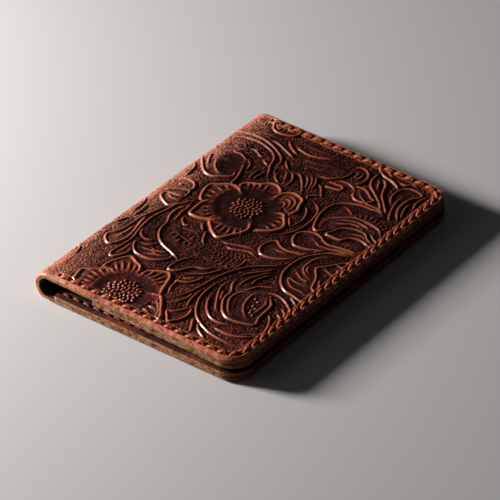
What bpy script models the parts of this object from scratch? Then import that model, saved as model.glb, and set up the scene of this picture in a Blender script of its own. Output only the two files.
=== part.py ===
"""A tooled leather card wallet, closed, lying on its back cover.

Run it with blender --background --python part.py, or from Blender's text editor.
The outer leather folds round the spine, a pocket is saddle-stitched inside each cover, and the fold
is a living hinge: four coupled hinges carry the front cover over the three strips of the spine.
Metres, +Z up. The origin is the middle of the footprint, +X runs from the spine to the fore-edge,
and +Y from the foot to the head.
"""

import math

import bmesh
import bpy
from mathutils import Matrix, Vector

# Driving dimensions
LENGTH = 0.107  # foot to head
WIDTH = 0.075  # back of the spine to the fore-edge
SPINE_HEIGHT = 0.0102  # outside, at the fold
FORE_HEIGHT = 0.0082  # outside, at the fore-edge
COVER_THICKNESS = 0.0019
POCKET_THICKNESS = 0.0016
CLEARANCE = 0.0003  # between pieces that lie on each other
CORNER_RADIUS = 0.0070
CORNER_SEGMENTS = 8

# Where each pocket's mouth lies, from the line where the spine's curve meets the flat cover
BACK_POCKET_MOUTH = 0.0024
FRONT_POCKET_MOUTH = 0.0170

# The seam and its thread
STITCH_PITCH = 0.00385
SEAM_INSET = 0.0025  # from the cut edge to the seam's middle
SEAM_START = 0.0035  # from the same line as the pockets' mouths
THREAD_RADIUS = 0.0003
THREAD_SIDESTEP = 0.00035  # the thread's two halves pass each other in a hole, this far off its middle
THREAD_DEPTH = 0.0004  # from a grooved face down to the thread's middle
GROOVE_DEPTH = 0.0008
GROOVE_WIDTH = 0.0021
SLOT_ALONG = 0.0009
SLOT_ACROSS = 0.0016

# The fold
FOLD_JOINTS = 4
ARC_STEPS = 6  # facets of one spine strip

# Worked out from those
OUTER_RADIUS = SPINE_HEIGHT / 2
INNER_RADIUS = OUTER_RADIUS - COVER_THICKNESS
SPINE_X = -WIDTH / 2 + OUTER_RADIUS
COVER_REACH = WIDTH - OUTER_RADIUS  # from the spine's curve to the fore-edge
COVER_TILT = math.asin((SPINE_HEIGHT - FORE_HEIGHT) / COVER_REACH)
FOLD_STEP = (math.pi + COVER_TILT) / FOLD_JOINTS
JOINT_GAP = CLEARANCE / 2 / OUTER_RADIUS  # half of the gap between strips, as an angle
BOTTOM_ANGLE = 1.5 * math.pi
POCKET_BASE = COVER_THICKNESS + CLEARANCE
POCKET_FACE = POCKET_BASE + POCKET_THICKNESS
CUTTER_REACH = 0.002  # how far a cutter runs past the faces that it opens

LEATHER_COLOUR = (0.17, 0.045, 0.02, 1.0)
POCKET_COLOUR = (0.20, 0.055, 0.025, 1.0)
THREAD_COLOUR = (0.22, 0.04, 0.02, 1.0)


def clear_scene():
    for obj in list(bpy.data.objects):
        bpy.data.objects.remove(obj, do_unlink=True)


def new_collection(name):
    collection = bpy.data.collections.new(name)
    bpy.context.scene.collection.children.link(collection)
    return collection


def new_material(name, colour, roughness):
    material = bpy.data.materials.new(name)
    material.use_nodes = True
    shader = material.node_tree.nodes["Principled BSDF"]
    shader.inputs["Base Color"].default_value = colour
    shader.inputs["Roughness"].default_value = roughness
    shader.inputs["Metallic"].default_value = 0.0
    return material


def polar(radius, angle):
    """A point of the spine's section (x, z), from the middle of its curve."""
    return Vector((radius * math.cos(angle), radius * math.sin(angle)))


def arc(radius, start, end, steps):
    return [polar(radius, start + (end - start) * i / steps) for i in range(steps + 1)]


def curve_to_mesh(curve_object):
    """The curve's evaluated mesh with its caps welded on. The curve itself is removed."""
    graph = bpy.context.evaluated_depsgraph_get()
    mesh = bpy.data.meshes.new_from_object(curve_object.evaluated_get(graph))
    mesh.transform(curve_object.matrix_world)
    bpy.data.objects.remove(curve_object, do_unlink=True)
    shape = bmesh.new()
    shape.from_mesh(mesh)
    bmesh.ops.remove_doubles(shape, verts=shape.verts, dist=1e-6)
    bmesh.ops.recalc_face_normals(shape, faces=shape.faces)
    shape.to_mesh(mesh)
    shape.free()
    return mesh


def prism(name, outline, half_depth, matrix):
    """A flat outline given depth on both sides of its plane, then placed by the matrix."""
    curve = bpy.data.curves.new(name, "CURVE")
    curve.dimensions = "2D"
    curve.fill_mode = "BOTH"
    curve.extrude = half_depth
    spline = curve.splines.new("POLY")
    spline.points.add(len(outline) - 1)
    for point, (x, y) in zip(spline.points, outline):
        point.co = (x, y, 0.0, 1.0)
    spline.use_cyclic_u = True
    curve_object = bpy.data.objects.new(name, curve)
    bpy.context.scene.collection.objects.link(curve_object)
    curve_object.matrix_world = matrix
    bpy.context.view_layer.update()
    return curve_to_mesh(curve_object)


def section_solid(name, outline):
    """A section in X and Z, run from the foot to the head."""
    return prism(name, outline, LENGTH / 2, Matrix.Rotation(math.pi / 2, 4, "X"))


def plate(name, outline, low, high):
    """An outline in X and Y, from one height to another."""
    return prism(name, outline, (high - low) / 2, Matrix.Translation((0, 0, (low + high) / 2)))


def round_fore_corners(mesh):
    """Rounds the two upright edges where the fore-edge meets the head and the foot."""
    shape = bmesh.new()
    shape.from_mesh(mesh)
    bmesh.ops.dissolve_limit(shape, angle_limit=0.001, verts=shape.verts, edges=shape.edges)
    reach = max(vertex.co.x for vertex in shape.verts)

    def at_corner(vertex):
        return abs(vertex.co.x - reach) < 1e-6 and abs(abs(vertex.co.y) - LENGTH / 2) < 1e-6

    edges = [
        edge
        for edge in shape.edges
        if all(at_corner(vertex) for vertex in edge.verts)
        and abs(edge.verts[0].co.y - edge.verts[1].co.y) < 1e-6
    ]
    bmesh.ops.bevel(
        shape,
        geom=edges,
        offset=CORNER_RADIUS,
        segments=CORNER_SEGMENTS,
        profile=0.5,
        affect="EDGES",
    )
    shape.to_mesh(mesh)
    shape.free()


def add_object(name, mesh, parent, collection, material=None):
    """An object whose mesh is drawn about the parent's origin."""
    obj = bpy.data.objects.new(name, mesh)
    collection.objects.link(obj)
    obj.parent = parent
    if material:
        mesh.materials.clear()
        mesh.materials.append(material)
    return obj


def add_empty(name, matrix, parent=None):
    empty = bpy.data.objects.new(name, None)
    empty.empty_display_size = 0.01
    PARTS.objects.link(empty)
    empty.parent = parent
    if parent:
        bpy.context.view_layer.update()
        empty.matrix_parent_inverse = parent.matrix_world.inverted()
    empty.matrix_world = matrix
    bpy.context.view_layer.update()
    return empty


def add_cutter(name, mesh, parent):
    cutter = add_object(name, mesh, parent, CUTTERS)
    cutter.hide_render = True
    cutter.display_type = "WIRE"
    return cutter


def cut(obj, cutter):
    modifier = obj.modifiers.new(cutter.name, "BOOLEAN")
    modifier.operation = "DIFFERENCE"
    modifier.solver = "EXACT"
    modifier.object = cutter


class Seam:
    """A cover's stitch holes, in its own plane: along the foot, up the fore-edge, back along the head."""

    def __init__(self, reach):
        self.corner = CORNER_RADIUS - SEAM_INSET
        self.corner_x = reach - CORNER_RADIUS
        self.side = self.corner_x - SEAM_START
        self.bend = self.corner * math.pi / 2
        self.total = 2 * (self.side + self.bend) + LENGTH - 2 * CORNER_RADIUS
        runs = round(self.total / STITCH_PITCH)
        self.holes = [self.station(self.total * i / runs) for i in range(runs + 1)]

    def station(self, along):
        """A place on the seam and its sideways direction, towards the wallet's middle."""
        if along > self.total / 2:
            place, across = self.station(self.total - along)
            return Vector((place.x, -place.y)), Vector((across.x, -across.y))
        turned = min(max(along - self.side, 0) / self.corner, math.pi / 2)
        outward = Vector((math.sin(turned), -math.cos(turned)))
        middle = Vector((self.corner_x, -LENGTH / 2 + CORNER_RADIUS))
        place = middle + outward * self.corner
        place.x -= max(self.side - along, 0)
        place.y += max(along - self.side - self.bend, 0)
        return place, -outward

    def groove_outline(self):
        """Both sides of the groove, run past the first and the last hole to clear their slots."""
        bend = [self.side + self.bend * i / CORNER_SEGMENTS for i in range(CORNER_SEGMENTS + 1)]
        stations = [-SLOT_ALONG, *bend]
        stations += [self.total - along for along in reversed(stations)]
        places = [self.station(along) for along in stations]
        inside = [place + across * GROOVE_WIDTH / 2 for place, across in places]
        outside = [place - across * GROOVE_WIDTH / 2 for place, across in places]
        return inside + outside[::-1]

    def slot_mesh(self, name):
        """One upright box for each hole."""
        mesh = bpy.data.meshes.new(name)
        shape = bmesh.new()
        size = Matrix.Diagonal((SLOT_ALONG, SLOT_ACROSS, POCKET_FACE + 2 * CUTTER_REACH, 1.0))
        for place, across in self.holes:
            turn = Matrix.Rotation(math.atan2(-across.x, across.y), 4, "Z")
            middle = Matrix.Translation((place.x, place.y, POCKET_FACE / 2))
            bmesh.ops.create_cube(shape, size=1.0, matrix=middle @ turn @ size)
        shape.to_mesh(mesh)
        shape.free()
        return mesh

    def thread_path(self, pocket_mouth):
        """The saddle stitch: one thread worked from its middle, whose halves swap faces at every hole."""

        def inner_height(run):
            if max(place.x for place, across in self.holes[run : run + 2]) > pocket_mouth:
                return POCKET_FACE - THREAD_DEPTH
            return COVER_THICKNESS + THREAD_RADIUS + CLEARANCE / 6

        def half_thread(outside_first):
            points = []
            for run in range(len(self.holes) - 1):
                outside = (run % 2 == 0) == outside_first
                height = THREAD_DEPTH if outside else inner_height(run)
                step = THREAD_SIDESTEP if outside else -THREAD_SIDESTEP
                for (place, across), sidestep in zip(self.holes[run : run + 2], (-step, step)):
                    points.append(Vector((*(place + across * sidestep), height)))
            tail = points[-1].copy()
            tail.z = POCKET_BASE
            return points + [tail]

        return half_thread(True)[::-1] + half_thread(False)


def thread_mesh(name, path):
    curve = bpy.data.curves.new(name, "CURVE")
    curve.dimensions = "3D"
    curve.bevel_depth = THREAD_RADIUS
    curve.bevel_resolution = 0
    curve.use_fill_caps = True
    spline = curve.splines.new("POLY")
    spline.points.add(len(path) - 1)
    for point, place in zip(spline.points, path):
        point.co = (*place, 1.0)
    curve_object = bpy.data.objects.new(name, curve)
    bpy.context.scene.collection.objects.link(curve_object)
    bpy.context.view_layer.update()
    return curve_to_mesh(curve_object)


def cover_outline(reach):
    """A cover's section: flat, then curling into the spine as far as the first hinge."""
    centre = Vector((0, OUTER_RADIUS))
    end = BOTTOM_ANGLE - FOLD_STEP / 2 + JOINT_GAP
    outer = [centre + p for p in arc(OUTER_RADIUS, BOTTOM_ANGLE, end, ARC_STEPS // 2)]
    inner = [centre + p for p in arc(INNER_RADIUS, end, BOTTOM_ANGLE, ARC_STEPS // 2)]
    return [Vector((reach, 0)), *outer, *inner, Vector((reach, COVER_THICKNESS))]


def make_cover(side, placing, parent, reach, pocket_mouth):
    """A cover with its pocket and thread, drawn outside face down about the placing matrix."""
    seat = add_empty(f"{side}_seat", placing, parent)
    seam = Seam(reach)
    cover = section_solid(f"{side}_cover", cover_outline(reach))
    pocket_outline = [
        (pocket_mouth, POCKET_BASE),
        (reach, POCKET_BASE),
        (reach, POCKET_FACE),
        (pocket_mouth, POCKET_FACE),
    ]
    pocket = section_solid(f"{side}_pocket", pocket_outline)
    round_fore_corners(cover)
    round_fore_corners(pocket)
    cover = add_object(f"{side}_cover", cover, seat, PARTS, LEATHER)
    pocket = add_object(f"{side}_pocket", pocket, seat, PARTS, POCKET_LEATHER)

    groove = seam.groove_outline()
    outer_groove = plate(f"{side}_outer_groove", groove, -CUTTER_REACH, GROOVE_DEPTH)
    inner_groove = plate(
        f"{side}_inner_groove", groove, POCKET_FACE - GROOVE_DEPTH, POCKET_FACE + CUTTER_REACH
    )
    slots = add_cutter(f"{side}_slots", seam.slot_mesh(f"{side}_slots"), seat)
    cut(cover, add_cutter(f"{side}_outer_groove", outer_groove, seat))
    cut(cover, slots)
    cut(pocket, add_cutter(f"{side}_inner_groove", inner_groove, seat))
    cut(pocket, slots)

    thread = thread_mesh(f"{side}_thread", seam.thread_path(pocket_mouth))
    add_object(f"{side}_thread", thread, seat, PARTS, THREAD)


def hinge_angle(number):
    """Where on the spine's curve this hinge lies, counted from the back cover."""
    return BOTTOM_ANGLE - FOLD_STEP * (number - 0.5)


def hinge_place(number):
    x, z = polar(OUTER_RADIUS, hinge_angle(number))
    return Vector((SPINE_X + x, 0, OUTER_RADIUS + z))


def make_strip(number, hinge):
    """The spine's leather from one hinge to the next, drawn about the first."""
    start = hinge_angle(number) - JOINT_GAP
    end = hinge_angle(number + 1) + JOINT_GAP
    origin = polar(OUTER_RADIUS, hinge_angle(number))
    outer = arc(OUTER_RADIUS, start, end, ARC_STEPS)
    inner = arc(INNER_RADIUS, end, start, ARC_STEPS)
    name = f"spine_strip_{number}"
    mesh = section_solid(name, [point - origin for point in outer + inner])
    mesh.shade_smooth()
    mesh.set_sharp_from_angle(angle=math.radians(40))
    add_object(name, mesh, hinge, PARTS, LEATHER)


def make_wallet():
    back = Matrix.Translation((SPINE_X, 0, 0))
    make_cover("back", back, None, COVER_REACH, BACK_POCKET_MOUTH)

    hinge = None
    for number in range(1, FOLD_JOINTS + 1):
        hinge = add_empty(f"hinge_{number}", Matrix.Translation(hinge_place(number)), hinge)
        if number < FOLD_JOINTS:
            make_strip(number, hinge)

    tangent = polar(OUTER_RADIUS, math.pi / 2 - COVER_TILT)
    start = Vector((SPINE_X + tangent.x, 0, OUTER_RADIUS + tangent.y))
    turned_over = Matrix.Rotation(COVER_TILT, 4, "Y") @ Matrix.Rotation(math.pi, 4, "X")
    front_reach = (WIDTH / 2 - start.x) / math.cos(COVER_TILT)
    front = Matrix.Translation(start) @ turned_over
    make_cover("front", front, hinge, front_reach, FRONT_POCKET_MOUTH)


clear_scene()
PARTS = new_collection("card_wallet")
CUTTERS = new_collection("cutters")
LEATHER = new_material("tooled_leather", LEATHER_COLOUR, 0.45)
POCKET_LEATHER = new_material("pocket_leather", POCKET_COLOUR, 0.55)
THREAD = new_material("waxed_thread", THREAD_COLOUR, 0.6)
make_wallet()
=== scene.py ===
"""The looks of the tooled card wallet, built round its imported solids.

Lengths in the code are millimetres until a mesh is made. Leather is laid out flat first: s runs along the
outer face, from the back cover (below -FOLD) round the spine to the front cover (above 0), y from foot to
head, and h out of the leather from its outer face.
"""

import math

import bpy
import numpy as np
from mathutils import Matrix, Vector


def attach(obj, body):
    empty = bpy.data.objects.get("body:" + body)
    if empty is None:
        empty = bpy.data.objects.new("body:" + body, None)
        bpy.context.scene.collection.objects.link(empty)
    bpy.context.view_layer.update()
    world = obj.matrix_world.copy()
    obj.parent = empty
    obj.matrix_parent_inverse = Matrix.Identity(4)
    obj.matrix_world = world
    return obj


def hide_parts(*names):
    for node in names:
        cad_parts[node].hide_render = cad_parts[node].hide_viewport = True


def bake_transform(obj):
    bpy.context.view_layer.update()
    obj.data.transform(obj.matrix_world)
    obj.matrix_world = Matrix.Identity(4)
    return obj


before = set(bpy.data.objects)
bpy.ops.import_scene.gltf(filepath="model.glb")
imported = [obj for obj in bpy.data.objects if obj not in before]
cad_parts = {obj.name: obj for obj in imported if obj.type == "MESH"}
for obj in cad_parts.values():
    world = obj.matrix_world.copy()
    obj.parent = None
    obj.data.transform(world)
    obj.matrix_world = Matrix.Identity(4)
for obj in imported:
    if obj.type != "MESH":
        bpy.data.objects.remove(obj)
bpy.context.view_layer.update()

MM = 0.001
LENGTH, WIDTH = 107.0, 75.0
SPINE_HEIGHT, FORE_HEIGHT = 10.2, 8.2
COVER, POCKET_FACE = 1.9, 3.8  # inner faces of the cover and of the pocket, from the outer face
CORNER = 7.0
RADIUS = SPINE_HEIGHT / 2
SPINE_X = -WIDTH / 2 + RADIUS
REACH = WIDTH - RADIUS
TILT = math.asin((SPINE_HEIGHT - FORE_HEIGHT) / REACH)
FOLD = RADIUS * (math.pi + TILT)  # length of the outer face round the spine
FRONT_START = np.array([SPINE_X + RADIUS * math.sin(TILT), RADIUS + RADIUS * math.cos(TILT)])
FRONT_REACH = (WIDTH / 2 - FRONT_START[0]) / math.cos(TILT)
SEAM_INSET, SEAM_START, STITCH = 2.3, 3.5, 3.85
RAIL = 1.2  # from the seam's middle to the raised rail on either side of it
MOUTH = {"back": 2.4, "front": 17.0}
FRONT_STEP, BACK_STEP, POCKET_STEP = ((0.2, 0.25, 0.4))

# ---------------------------------------------------------------- the tooled pattern
# Each line is a raised ridge through these points, x and y as seen on the closed wallet's front cover.
# PETALS and SHAPES enclose petals, leaves and buds, whose insides are dished and smooth, and LINES don't.

PETALS = [
    # the large flower's petals
    [(-13, 13.8), (-14.9, 15.2), (-17.2, 15.8), (-19, 15.1), (-20.9, 13.6), (-23, 11.8), (-23.2, 10),
     (-22.7, 7.9), (-22, 6), (-21.1, 4.4), (-19.6, 3.5)],
    [(-17.4, 5.3), (-18.6, 4.4), (-19.4, 2.1), (-19.3, -0.8), (-19, -3.4), (-17.2, -4), (-15.3, -3.9),
     (-13.4, -3.2), (-11.6, -2.4), (-10.2, -0.6)],
    [(-12.4, -2.8), (-10.3, -4.8), (-8.2, -6.7), (-4.9, -8.3), (-3.2, -6.9), (-2, -4.6), (-0.5, -2.3),
     (0, 0), (-0.5, 1.7), (-1.8, 3.5)],
    [(1.6, 12), (3.7, 12.7), (5.3, 11), (7.2, 8.5), (7.4, 6.3), (6.2, 4.2), (4.1, 2.5), (1.5, 1)],
    [(-3.8, 17.3), (-3.4, 19.2), (-2.6, 21.7), (-0.3, 23.4), (2, 23), (3.9, 22.1), (4.8, 19.2), (5.8, 16.7),
     (5.1, 13.9)],
    [(-15.5, 15.8), (-15.5, 18.2), (-13.8, 19.8), (-11.3, 21), (-9.3, 23.1), (-6.8, 23.6), (-4.7, 22.5),
     (-3.5, 20.9)],
    # the foot flower's petals
    [(-22.2, -40.7), (-22, -37.8), (-20.9, -34.8), (-19.2, -31.9), (-18, -31.7), (-15.9, -32.7),
     (-13.4, -33.8), (-12.2, -36.4)],
    [(-10.7, -37.2), (-10.4, -34.4), (-8, -32.4), (-5.1, -31.1), (-3.4, -32.6), (-2.4, -35.2), (-1.6, -38),
     (-0.5, -40.8)],
    [(-17.6, -40.3), (-19.7, -40), (-21.8, -41.5), (-24.2, -43.5), (-26.1, -44.9), (-25.9, -47.3),
     (-25.1, -49.8), (-23.8, -51.6)],
    [(-3, -42.3), (0.1, -41.3), (2, -43.2), (4.1, -46.1), (6, -48.8), (7, -51.6)],
]

SHAPES = [
    # leaves beside the spine
    [(-26.3, -4.6), (-27.2, -7.1), (-28.1, -10.4), (-29, -14.2), (-29.2, -18.2), (-29.5, -22.3),
     (-30.5, -25), (-31.6, -26.6), (-30.8, -28.8), (-28.4, -30.3), (-26.8, -28.6), (-25.8, -25.3),
     (-26.1, -21.5), (-27.1, -17.7), (-28.2, -12.4)],
    [(-21.3, 3.3), (-23, 0), (-24.7, -2.8), (-25.3, -7.1), (-26.1, -10.4), (-26.3, -14.3), (-25.6, -19),
     (-24.3, -24.4), (-24.5, -28.2), (-24.9, -32.3), (-24.5, -34.3), (-23.4, -34.7), (-22, -33.2),
     (-21, -30.3), (-22, -27.1)],
    [(-22.4, -2.5), (-23, -5), (-22.7, -8.3), (-21.2, -11.6), (-20.9, -14.4), (-20, -16.7), (-17.9, -19.4),
     (-14.7, -21.3), (-11.3, -22.4), (-7.2, -24.1)],
    [(-22.7, -24), (-22, -26.3), (-20.1, -28.4), (-17.6, -29.3), (-13.8, -29.2), (-10.9, -27.5),
     (-9.5, -25.7), (-9.3, -23.8)],
    # buds beside the spine
    [(-32.2, 9.6), (-30.3, 9.8), (-28.6, 9.7), (-27.2, 9.1), (-26, 7.5), (-26.1, 5.8), (-28.4, 4.6),
     (-30.5, 3.1), (-32.8, 1.2)],
    [(-25.5, 2.1), (-27.6, 1.3), (-29.7, 1), (-31.3, 0.5), (-31.6, -1.4), (-30.1, -2.9), (-28.4, -3.8),
     (-26.3, -4.4), (-24.9, -2.4)],
    # the round bloom near the head
    [(-36, 24), (-34.2, 21.8), (-32.2, 19.4), (-30.1, 17.1), (-28, 15.8), (-25.5, 15.6), (-23, 17.2),
     (-20.5, 19.4), (-21.4, 21.9)],
    [(-21.6, 26.3), (-20.8, 24.6), (-20, 22.6), (-19, 19.6), (-18.6, 16)],
    [(-28.4, 51.2), (-27.5, 49.6), (-26.4, 47.7), (-25, 46.9), (-23.1, 46.6), (-20.9, 47), (-18.6, 48.3),
     (-17.8, 50.4)],
    # the head scroll's bud
    [(6.5, 45.2), (7.4, 46.5), (9.1, 46.8), (11, 45.9), (12.4, 44), (12.8, 42.1), (12.6, 40.4),
     (11.5, 38.6)],
    # small leaves between the flower and the head
    [(4.1, 34.6), (6.2, 34.9), (8.7, 35.1), (9.9, 34.4), (9.5, 33.3), (7, 32.6), (4.5, 32.3)],
    [(12, 37.1), (13.5, 38), (15.8, 38), (17.8, 36.8), (19.5, 35.5), (21, 34.9), (19.6, 32.6), (18, 32.1),
     (16.2, 32.1), (14.5, 33.1), (13.5, 35)],
    # tall leaves at the head corner
    [(14, 48.1), (13.9, 46.3), (14.3, 43.3), (15.8, 40.6), (18.3, 38.7), (21.2, 36.5), (23.7, 34.2),
     (25.4, 31.9)],
    [(16.8, 46), (19.1, 43.7), (20.3, 40.8), (21.6, 38.3), (23.3, 36.5), (25.8, 33.8), (27.5, 32.1)],
    [(25.8, 36.7), (24.1, 39.6), (23.7, 42.5), (24.3, 45), (26.6, 46.7), (29.5, 46.6), (31.1, 45.8),
     (30.7, 44.5), (29.3, 42.5), (28.9, 39.6), (29.1, 36.7), (30.3, 33.8), (32.8, 30.4)],
    [(11.2, 54), (11.6, 51.7), (13.3, 49.2), (16.2, 47.5), (19.5, 46.7), (22, 45.4), (23.2, 44.6)],
    # acanthus at the fore-edge
    [(28.2, 30.2), (25.6, 31.2), (23, 30.9), (20.3, 30.8), (17.4, 30), (14.5, 28.3), (12.6, 25.8),
     (11.9, 22.5), (12.4, 18.8), (13.2, 16.4), (13.9, 14.6), (14.9, 12.9), (16.4, 12.2), (18, 13.2)],
    [(34.5, 14.7), (31.2, 15.8), (28.7, 16), (26.4, 15), (24.9, 12.7), (22.4, 12.4), (19.7, 12.6),
     (20.3, 14.6), (21.2, 17.1), (23.2, 18.8), (26.2, 19.7), (29.1, 19.4), (31, 17.6), (34.3, 16.3)],
    # the two round buds
    [(33.7, 9.9), (30.3, 9.8), (27, 9.2), (23.7, 8.5), (21.6, 9), (19.5, 10.3), (17, 10.8), (14.5, 9.8),
     (12.9, 7.9), (13, 5.4), (14.3, 3.3), (16.2, 2.2), (19.9, 2.9), (22.4, 4.3), (24.6, 5.7)],
    [(22.2, 2.4), (20.3, 0.2), (18.3, -0.6), (15.8, -1.3), (13.3, -1), (11.6, 0), (10.5, 0.8), (9.1, -0.4),
     (8.2, -2.9), (8.5, -5.2), (9.9, -6.9), (12, -7.4), (14.9, -6.7), (17.4, -5.2), (19.6, -3.2)],
    # the scroll and the flower at the fore-edge
    [(32, 7.9), (29.5, 6.9), (26.2, 5.2), (23.7, 2.5), (21.6, -0.8), (20.7, -5), (20.8, -9.2), (22, -12.5),
     (24.1, -15.4), (27, -17.3), (30.3, -17.9), (35, -19)],
    [(35, 4.9), (32.8, 4.2), (31.4, 2.1), (29.5, -0.4), (27.7, -2.8), (28.7, -4.7), (30.3, -6.7),
     (31.4, -9.2), (32.4, -11.7), (35, -13.2)],
    # the bloom at the foot corner
    [(12.2, -20.7), (13, -24), (14.9, -27.3), (15.1, -30.3), (16.2, -32.8), (18.3, -35.7), (20.8, -37.4),
     (23.3, -37.8), (27, -37), (29.8, -35.5), (28.8, -32.3), (28.6, -29), (28.2, -25.7), (26.4, -23.4),
     (25.6, -21.8)],
    # leaves below the flower and at the foot
    [(-4.7, -20.3), (-4.9, -21.8), (-6.1, -23.8), (-6.7, -26.5), (-6.6, -29.3), (-4.9, -29.5), (-3.2, -28),
     (-2, -25.8), (-0.3, -24.1), (2, -23.2), (4.2, -21.1)],
    [(4.3, -26.2), (3.9, -28.6), (2.8, -30.7), (0.8, -32.1), (-1.4, -33)],
    [(10.3, -39.9), (9.1, -42.7), (7.4, -44.8), (5.9, -45.6), (7.4, -47.4), (9.1, -49.2), (10.4, -48),
     (11.6, -46), (11.9, -43.2), (11, -40.3)],
]

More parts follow.
